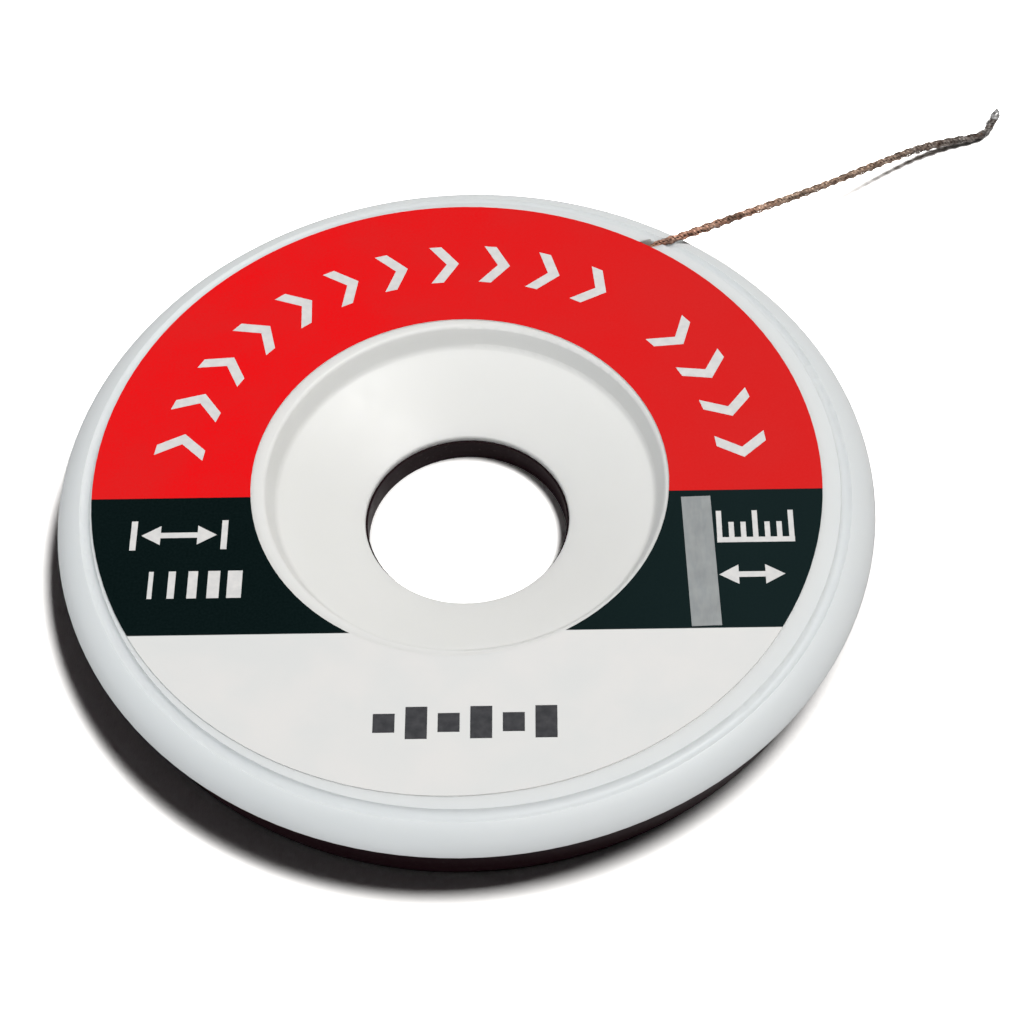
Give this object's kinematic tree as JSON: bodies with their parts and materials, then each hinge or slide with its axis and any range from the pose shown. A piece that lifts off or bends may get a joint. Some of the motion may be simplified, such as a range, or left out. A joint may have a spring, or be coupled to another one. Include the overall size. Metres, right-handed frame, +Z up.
{
  "type": "desoldering braid spool",
  "caption": "Flat round snap-together case with a finger hole, whose inner reel pays thin copper desoldering braid out through a slot in the rim.",
  "frame": {"origin": "middle of the base's underside, on the axis of the finger hole", "axes": "+Z up along the finger hole, with the labelled face up; +Y towards the middle of the label's red arc; the braid lies out towards +X and +Y"},
  "size_m": [0.0674, 0.066, 0.0065],
  "materials": {
    "base_plastic": "smooth dark brown-black moulding",
    "cover_plastic": "glossy white moulding",
    "reel_plastic": "plain white moulding",
    "copper_braid": "fine woven copper",
    "solder": "dull solder",
    "label_paper": "glossy printed sticker in red, near-black and white",
    "clear_tape": "clear sticky tape"
  },
  "bodies": {
    "case": {"base_shell": "base_plastic", "cover_shell": "cover_plastic", "front_label": "label_paper", "tape_strip": "clear_tape", "braid_tail": "copper_braid", "tinned_tip": "solder"},
    "reel": {"reel": "reel_plastic", "braid_winding": "copper_braid"}
  },
  "joints": [
    {"name": "reel_spin", "type": "hinge", "parent": "case", "child": "reel", "pos_m": [0, 0, 0.00285], "axis": [0, 0, 1], "continuous": true}
  ]
}
